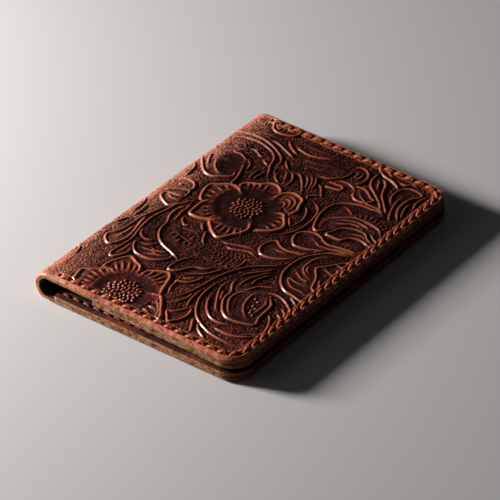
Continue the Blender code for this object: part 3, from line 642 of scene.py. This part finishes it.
def panel(name, start, end, step, height_of, to_space, thickness, shape):
    """Leather with a finished outer face, a rough cut edge and a plain inner face.

    shape says which ends are cut: a "fold" has open ends, a "cover" has its fore-edge and round corners at
    its end, and a "pocket" has those and a straight mouth at its start. height_of gives the outer face's
    height and attributes, and to_space places the leather."""
    closed, ring = shape != "fold", shape == "pocket"
    half = LENGTH / 2 - LIP
    start, stop = start + LIP * ring, end - LIP * closed
    ns, ny = max(3, round((stop - start) / step) + 1), round(2 * half / step) + 1
    su, yv = np.meshgrid(np.linspace(start, stop, ns), np.linspace(-half, half, ny), indexing="ij")
    if closed:
        radius = CORNER - LIP
        a, b = (su - stop) / radius + 1, (np.abs(yv) - half) / radius + 1
        turning = (a > 0) & (b > 0)
        a2, b2 = (p * np.sqrt(1 - np.clip(q, 0, 1) ** 2 / 2) for p, q in ((a, b), (b, a)))
        su = np.where(turning, stop - radius + a2 * radius, su)
        yv = np.where(turning, np.sign(yv) * (half - radius + b2 * radius), yv)
    height, extra = height_of(su, yv)
    index = np.arange(ns * ny).reshape(ns, ny)
    quads = [np.stack([index[:-1, :-1], index[1:, :-1], index[1:, 1:], index[:-1, 1:]], -1).reshape(-1, 4)]
    su, yv, height = su.ravel(), yv.ravel(), height.ravel()
    points, at = [to_space(su, yv, height)], [np.stack([su, yv, height], -1)]
    extra = {key: [values.ravel()] for key, values in extra.items()}
    bare, fore_edge_shade, count, bottoms = [np.zeros(ns * ny)], [np.zeros(ns * ny)], ns * ny, []
    if closed:
        chains = [[index[:, 0], index[-1, 1:-1], index[::-1, -1], index[0, -2:0:-1]][: 4 if ring else 3]]
    else:
        chains = [[index[:, 0]], [index[::-1, -1]]]
    for chain in map(np.concatenate, chains):
        ps, py, ph = su[chain], yv[chain], height[chain]
        if ring:
            ts, ty = np.roll(ps, -1) - np.roll(ps, 1), np.roll(py, -1) - np.roll(py, 1)
        else:
            ts, ty = np.gradient(ps), np.gradient(py)
        outward = np.stack([ty, -ts]) / np.hypot(ts, ty)
        above = chain
        for short, depth in WALL:
            rough = 0.07 * noise(ps + py, 9 * depth + 0 * ps, 0.9) * (0.1 < depth < 0.9)
            s2, y2 = np.stack([ps, py]) + outward * (LIP - short + rough)
            h = ph + (-thickness - ph) * depth
            points.append(to_space(s2, y2, h))
            at.append(np.stack([s2, y2, h], -1))
            bare.append(np.full(len(chain), smooth(0.04, 0.2, depth)))
            # Walls that face the fore-edge get painted shade, as they face away from the light.
            fore_edge_shade.append(closed * smooth(0.1, 0.7, outward[0]))
            for values in extra.values():
                values.append(values[0][chain])
            row = np.arange(count, count + len(chain))
            count += len(chain)
            wall = np.stack([above, row, np.roll(row, -1), np.roll(above, -1)], -1)
            quads.append(wall if ring else wall[:-1])
            above = row
        bottoms.append(above)
    if closed:
        inner = [bottoms[0][::-1]]
    else:
        foot, head = bottoms[0], bottoms[1][::-1]
        inner = list(np.stack([foot[:-1], head[:-1], head[1:], foot[1:]], -1))
    quads = np.concatenate(quads)
    kinds = np.concatenate([np.zeros(len(quads)), np.ones(len(inner))])
    attributes = {key: np.concatenate(values) for key, values in extra.items()}
    attributes |= {"at": np.concatenate(at), "bare": np.concatenate(bare), "fore_edge_shade": np.concatenate(fore_edge_shade)}
    return make_mesh(name, np.concatenate(points), quads, inner, attributes, kinds)


def pocket_height(reach, holes):
    def heights(u, y):
        seam, pit, run = seam_relief(u, y, reach, holes)
        edge = edge_distance(u, y, reach)
        height = 0.05 * noise(u, y, 9) + seam * 0.8 - 0.3 * np.clip(1 - edge / 0.9, 0, 1) ** 2 - 0.1
        return height, {"shine": 0.5 - 0.5 * pit, "worn_and_lit": 0 * u}

    return heights


SIDES, RINGS, TWISTS = 10, 19, 1.6
THREAD, SLANT = 0.6, 0.46  # the thread's radius, and how far a stitch's ends step to either side
THREAD_SUNK = {"back": 0.8, "front": 0}  # the back one stays above what the wallet lies on
POCKET_SUNK = 0.5  # in the pockets, so that the two threads don't meet in the closed wallet


def stitches(name, holes, mouth, to_space, sunk):
    """A cover's saddle stitches, on its outer face, where they may be sunk in the leather, and inside."""
    places, across = holes
    around = np.linspace(0, 2 * math.pi, SIDES, endpoint=False)
    t = np.linspace(0, 1, RINGS)
    points, quads, at = [], [], []
    for face in (0, 1):
        for i in range(len(places) - 1):
            covered = face and max(places[i][0], places[i + 1][0]) > mouth
            inner = POCKET_FACE - POCKET_SUNK if covered else COVER
            base = (-0.02 - sunk, -0.02 - inner)[face]
            out = 1 - 2 * face
            slant = SLANT * (2 * t - 1)[:, None]
            line = places[i] + (places[i + 1] - places[i]) * t[:, None]
            line = line + slant * (across[i] + (across[i + 1] - across[i]) * t[:, None])
            rise = base + out * (0.1 - 1.1 * np.abs(2 * t - 1) ** 2.4)
            centre = np.column_stack([line, rise])
            ahead = np.gradient(centre, axis=0)
            ahead /= np.linalg.norm(ahead, axis=1)[:, None]
            side = np.cross(ahead, [0, 0, 1.0])
            side /= np.linalg.norm(side, axis=1)[:, None]
            up = np.cross(side, ahead)
            turn = around[None] + 0 * t[:, None]
            ply = 1 + 0.1 * np.cos(2 * (turn - 2 * math.pi * t[:, None] * TWISTS))
            r = THREAD * ply * (0.86 + 0.14 * np.sin(math.pi * t))[:, None]
            tube = centre[:, None] + (np.cos(turn) * r)[..., None] * side[:, None]
            tube = tube + (np.sin(turn) * r)[..., None] * up[:, None]
            first = sum(map(len, points))
            index = first + np.arange(RINGS * SIDES).reshape(RINGS, SIDES)
            wrap = np.roll(index, -1, axis=1)
            quads.append(np.stack([index[:-1], index[1:], wrap[1:], wrap[:-1]], -1).reshape(-1, 4))
            tube = tube.reshape(-1, 3)
            points.append(to_space(*tube.T))
            at.append(tube + [i * 3.7, 0, 0])
    attributes = {"at": np.concatenate(at)}
    return make_mesh(name, np.concatenate(points), np.concatenate(quads), attributes=attributes)


# ---------------------------------------------------------------- materials


class Nodes:
    """A material's node tree, built by calls that return output sockets."""

    def __init__(self, name):
        self.material = bpy.data.materials.new(name)
        self.material.use_nodes = True
        self.tree = self.material.node_tree
        self.shader = self.tree.nodes["Principled BSDF"]

    def add(self, kind, inputs=None, output=0, **settings):
        node = self.tree.nodes.new("ShaderNode" + kind)
        for key, value in settings.items():
            setattr(node, key, value)
        self.fill(node, inputs or {})
        return node.outputs[output]

    def fill(self, node, inputs):
        for key, value in inputs.items():
            if isinstance(value, bpy.types.NodeSocket):
                self.tree.links.new(value, node.inputs[key])
            else:
                node.inputs[key].default_value = value

    def attribute(self, name, output="Fac"):
        return self.add("Attribute", output=output, attribute_name=name)

    def math(self, operation, a, b=0.0, c=0.0, clamp=False):
        return self.add("Math", {0: a, 1: b, 2: c}, operation=operation, use_clamp=clamp)

    def noise(self, at, scale, detail=3.0, roughness=0.55):
        return self.add("TexNoise", {"Vector": at, "Scale": scale, "Detail": detail, "Roughness": roughness})

    def ramp(self, value, stops):
        output = self.add("ValToRGB", {"Fac": value})
        elements = output.node.color_ramp.elements
        while len(elements) < len(stops):
            elements.new(0.5)
        for element, (position, colour) in zip(elements, stops):
            element.position = position
            element.color = (*colour, 1.0)
        return output

    def mix(self, share, a, b):
        output = self.add("Mix", {0: share}, output=2, data_type="RGBA")
        for key, value in ((6, a), (7, b)):
            if isinstance(value, bpy.types.NodeSocket):
                self.tree.links.new(value, output.node.inputs[key])
            else:
                output.node.inputs[key].default_value = (*value, 1.0)
        return output

    def stretch(self, at, scale):
        return self.add("VectorMath", {0: at, 1: scale}, operation="MULTIPLY")

    def bump(self, height, distance, strength=1.0, normal=None):
        inputs = {"Height": height, "Distance": distance * MM, "Strength": strength}
        if normal is not None:
            inputs["Normal"] = normal
        return self.add("Bump", inputs)


TINT = (1.0, 0.6, 0.5, 1)  # of the plain highlights
EDGE_DARK, EDGE, EDGE_PALE = (0.07, 0.024, 0.010), (0.235, 0.108, 0.054), (0.35, 0.19, 0.105)
# Dye soaked into a cut edge, and also the painted shade on the walls that face the fore-edge
EDGE_DYE_AND_SHADE = (0.085, 0.022, 0.010)


def raw_edge(n, at):
    """A cut edge's fibres, darker where dye has soaked in from the outer face, and with painted shade on the
    walls that face the fore-edge, away from the light.
    """
    streaks = n.noise(n.stretch(at, (1, 1, 2)), 1.1, 6, 0.75)
    blotches = n.noise(at, 0.5, 3)
    level = n.math("MULTIPLY_ADD", n.math("SUBTRACT", blotches, 0.5), 0.9, streaks)
    depth = n.add("SeparateXYZ", {0: at}, output=2)
    level = n.math("MULTIPLY_ADD", depth, 0.06, n.math("ADD", level, 0.07))
    colour = n.ramp(level, [(0.3, EDGE_DARK), (0.46, EDGE), (0.64, EDGE_PALE)])
    soaked = n.math("MULTIPLY_ADD", depth, 4.0, 1.3, clamp=True)
    # Soaked dye near the outer face, and painted shade on the walls that face the fore-edge
    dark = n.math("MAXIMUM", soaked, n.attribute("fore_edge_shade"))
    return n.mix(n.math("MULTIPLY", dark, 0.8), colour, EDGE_DYE_AND_SHADE), streaks


# Antique finish, from the dye in the hollows to the rubbed ridges, and the leather rubbed bare on the spine,
# whose colours also hold painted light and a painted pink sheen where the spine faces the light
ANTIQUE = [
    (0.02, (0.015, 0.0042, 0.0036)),
    (0.24, (0.055, 0.0140, 0.0115)),
    (0.48, (0.150, 0.031, 0.0175)),
    (0.76, (0.28, 0.062, 0.026)),
    (1.0, (0.41, 0.115, 0.052)),
]
WORN_AND_LIT = [(0.3, (0.43, 0.13, 0.075)), (0.5, (0.46, 0.165, 0.105)), (0.7, (0.47, 0.22, 0.16))]


def tooled_leather():
    n = Nodes("tooled_leather_look")
    at = n.attribute("at", "Vector")
    shine, worn_and_lit, bare = map(n.attribute, ("shine", "worn_and_lit", "bare"))
    patches = n.noise(at, 0.07, 2)
    mottle = n.noise(at, 0.8, 4, 0.6)
    grain = n.noise(at, 3.6, 3, 0.6)
    level = n.math("MULTIPLY_ADD", n.math("SUBTRACT", mottle, 0.5), 0.75, shine)
    level = n.math("MULTIPLY_ADD", n.math("SUBTRACT", grain, 0.5), 0.3, level)
    level = n.math("MULTIPLY_ADD", n.math("SUBTRACT", patches, 0.5), 0.55, level)
    colour = n.ramp(level, ANTIQUE)
    # The spine's rubbed colours, which also hold painted light and a painted sheen
    patchy = n.math("MULTIPLY", n.math("MULTIPLY", worn_and_lit, level), 2.1)
    share = n.math("MULTIPLY_ADD", n.math("POWER", worn_and_lit, 4.0), 0.85, patchy, clamp=True)
    colour = n.mix(share, colour, n.ramp(mottle, WORN_AND_LIT))
    edge, fibres = raw_edge(n, at)
    colour = n.mix(bare, colour, edge)
    rough = n.math("MULTIPLY_ADD", shine, -0.22, 0.6)
    rough = n.math("MULTIPLY_ADD", mottle, 0.12, rough)
    rough = n.math("MULTIPLY_ADD", bare, 0.4, rough, clamp=True)
    pores = n.add("TexVoronoi", {"Vector": at, "Scale": 2.1, "Randomness": 1.0}, feature="SMOOTH_F1")
    skin = n.math("MULTIPLY_ADD", pores, 0.8, n.math("MULTIPLY", grain, 0.9))
    normal = n.bump(skin, 0.05, 0.7)
    normal = n.bump(n.math("MULTIPLY", fibres, bare), 0.16, 0.9, normal)
    glossy = n.math("MULTIPLY_ADD", shine, 1.2, -0.24, clamp=True)
    coat = n.math("MULTIPLY", n.math("MULTIPLY_ADD", bare, -1.0, 1.0), glossy)
    values = {"Base Color": colour, "Roughness": rough, "Normal": normal, "Coat Weight": coat}
    n.fill(n.shader, values | {"Coat Roughness": 0.27, "Coat IOR": 1.8})
    n.fill(n.shader, {"Specular IOR Level": 0.06, "Specular Tint": TINT})
    return n.material


def plain_leather(name, dark, middle, pale, gloss, cut=True):
    """Untooled leather with clouds, scuffs and a fine grain. cut says if it shows cut edges."""
    n = Nodes(name)
    at = n.attribute("at", "Vector")
    bare, worn_and_lit = n.attribute("bare"), n.attribute("worn_and_lit")
    clouds = n.noise(at, 0.12, 4, 0.6)
    scuffs = n.noise(n.stretch(at, (1, 0.25, 1)), 1.1, 5, 0.7)
    level = n.math("MULTIPLY_ADD", n.math("SUBTRACT", scuffs, 0.5), 0.7, clouds)
    level = n.math("MULTIPLY_ADD", worn_and_lit, 0.2, level)
    colour = n.ramp(level, [(0.3, dark), (0.52, middle), (0.75, pale)])
    edge, fibres = raw_edge(n, at)
    if not cut:
        bare = 0.0
    colour = n.mix(bare, colour, edge)
    grain = n.noise(at, 4.5, 4, 0.65)
    rough = n.math("MULTIPLY_ADD", scuffs, 0.3, 0.55 - gloss)
    rough = n.math("MULTIPLY_ADD", bare, 0.35, rough, clamp=True)
    normal = n.bump(n.math("MULTIPLY_ADD", scuffs, 0.6, grain), 0.07, 0.8)
    normal = n.bump(n.math("MULTIPLY", fibres, bare), 0.16, 0.9, normal)
    n.fill(n.shader, {"Base Color": colour, "Roughness": rough, "Normal": normal})
    n.fill(n.shader, {"Specular IOR Level": 0.12, "Specular Tint": TINT})
    return n.material


def thread_look():
    n = Nodes("thread_look")
    at = n.attribute("at", "Vector")
    tone = n.noise(at, 1.1, 3)
    # Threads on the inner faces, between the covers, are darker: painted shade.
    outside = n.math("MULTIPLY_ADD", n.add("SeparateXYZ", {0: at}, output=2), 1.0, 1.9, clamp=True)
    tone = n.math("MULTIPLY_ADD", outside, 0.32, n.math("ADD", tone, -0.32))
    stops = [(0.1, (0.05, 0.01, 0.005)), (0.5, (0.28, 0.062, 0.024)), (0.75, (0.42, 0.115, 0.046))]
    colour = n.ramp(tone, stops)
    normal = n.bump(n.noise(n.stretch(at, (1, 1, 3)), 6.0, 2), 0.05, 0.6)
    n.fill(n.shader, {"Base Color": colour, "Roughness": 0.5, "Normal": normal})
    n.fill(n.shader, {"Sheen Weight": 0.05, "Sheen Roughness": 0.4})
    n.fill(n.shader, {"Coat Weight": 0.08, "Coat Roughness": 0.35})
    n.fill(n.shader, {"Specular IOR Level": 0.2, "Specular Tint": TINT})
    return n.material


def wear(obj, *materials):
    for material in materials:
        obj.data.materials.append(material)


# ---------------------------------------------------------------- the wallet

BACK_SUNK = 0.5  # the back cover's ridges stay above what it lies on
TOOLED = tooled_leather()
FLESH_TONES = (0.014, 0.0045, 0.003), (0.034, 0.011, 0.0065), (0.07, 0.026, 0.015)
# The pockets' leather, its own tone darkened with painted shade, as it lies between the covers.
SHADED_POCKET_TONES = (0.016, 0.004, 0.0025), (0.05, 0.011, 0.006), (0.14, 0.034, 0.017)
FLESH = plain_leather("flesh_side_look", *FLESH_TONES, -0.3, cut=False)
SHADED_LINING = plain_leather("pocket_shaded_look", *SHADED_POCKET_TONES, -0.2)
THREADS = thread_look()


def outside(side):
    """What places a cover's own coordinates: u from its edge of the spine, y, and h out of its outer face."""
    if side == "front":
        return place
    return lambda u, y, h: place(-FOLD - u, -y, h)


def back_heights(u, y):
    return leather_height(-FOLD - u, -y)


front = panel("front_leather", 0, FRONT_REACH, FRONT_STEP, leather_height, place, COVER, "cover")
back = panel("back_leather", 0, REACH, BACK_STEP, back_heights, outside("back"), COVER, "cover")
for piece, side in ((front, "front"), (back, "back")):
    wear(piece, TOOLED, FLESH)
    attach(piece, side)
    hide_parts(side + "_cover")

for k in range(4):
    low, high = -FOLD + FOLD * k / 4, -FOLD + FOLD * (k + 1) / 4
    fold = panel(f"spine_leather_{k + 1}", low, high, FRONT_STEP, leather_height, place, COVER, "fold")
    wear(fold, TOOLED, FLESH)
    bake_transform(fold)
    if k < 3:
        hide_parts(f"spine_strip_{k + 1}")

def inside_of(where):
    """The same from the inner side: y turned over, and k out of the pocket's face."""
    return lambda u, y, k: where(u, -y, -POCKET_FACE - k)


POCKET_GAP = 0.06
for side, reach in (("back", REACH), ("front", FRONT_REACH)):
    where = outside(side)
    holes = HOLES[side]
    thickness = POCKET_FACE - COVER - POCKET_GAP
    heights = pocket_height(reach, (holes[0] * [1, -1], holes[1] * [1, -1]))
    name = f"{side}_pocket_panel"
    inwards = inside_of(where)
    pocket = panel(name, MOUTH[side], reach, POCKET_STEP, heights, inwards, thickness, "pocket")
    wear(pocket, SHADED_LINING, FLESH)
    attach(pocket, side)
    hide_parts(side + "_pocket")
    thread = stitches(f"{side}_stitching", holes, MOUTH[side], where, THREAD_SUNK[side])
    wear(thread, THREADS)
    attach(thread, side)
    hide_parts(side + "_thread")

# ---------------------------------------------------------------- floor, light and camera

floor_mesh = bpy.data.meshes.new("floor")
floor_mesh.from_pydata([(-3, -3, 0), (3, -3, 0), (3, 3, 0), (-3, 3, 0)], [], [(0, 1, 2, 3)])
floor = bpy.data.objects.new("floor", floor_mesh)
floor.location.z = -0.00002
bpy.context.scene.collection.objects.link(floor)
n = Nodes("floor_look")
n.fill(n.shader, {"Base Color": (0.50, 0.49, 0.48, 1), "Roughness": 0.9, "Specular IOR Level": 0.1})
wear(floor, n.material)


def area_light(name, toward, distance, size, power, colour=(1, 1, 1)):
    """A square soft light that looks at the wallet from this direction."""
    light = bpy.data.lights.new(name, "AREA")
    light.size, light.energy, light.color = size, power, colour
    obj = bpy.data.objects.new(name, light)
    direction = Vector(toward).normalized()
    obj.location = direction * distance
    obj.rotation_mode = "QUATERNION"
    obj.rotation_quaternion = direction.to_track_quat("Z", "Y")
    bpy.context.scene.collection.objects.link(obj)


area_light("window", (-0.84, -0.38, 0.35), 0.5, 0.1, 6.5, (1.0, 0.97, 0.96))
area_light("fill", (-0.6, -0.6, 0.55), 0.5, 0.3, 0.1, (1.0, 0.96, 0.93))
world = bpy.data.worlds.new("soft")
world.use_nodes = True
world.node_tree.nodes["Background"].inputs["Color"].default_value = (0.9, 0.94, 1.0, 1)
world.node_tree.nodes["Background"].inputs["Strength"].default_value = 0.03
bpy.context.scene.world = world

AZIMUTH, ELEVATION, ROLL = map(math.radians, (38.19, 34.98, -1.23))
DISTANCE, AIM_HEIGHT = 0.9582, 0.004286
camera = bpy.data.objects.new("camera", bpy.data.cameras.new("camera"))
camera.data.sensor_width, camera.data.lens = 36, 232.2
camera.data.shift_x, camera.data.shift_y = 0.005, -0.0136
camera.data.clip_start, camera.data.clip_end = 0.05, 20
back_to = Vector(
    (math.sin(AZIMUTH) * math.cos(ELEVATION), -math.cos(AZIMUTH) * math.cos(ELEVATION), math.sin(ELEVATION))
)
right = Vector((math.cos(AZIMUTH), math.sin(AZIMUTH), 0))
up = back_to.cross(right)
axes = (
    right * math.cos(ROLL) + up * math.sin(ROLL),
    up * math.cos(ROLL) - right * math.sin(ROLL),
    back_to,
)
turned = Matrix(axes).transposed().to_4x4()
camera.matrix_world = Matrix.Translation(Vector((0, 0, AIM_HEIGHT)) + back_to * DISTANCE) @ turned
bpy.context.scene.collection.objects.link(camera)
bpy.context.scene.camera = camera
bpy.context.scene.view_settings.view_transform = "Standard"
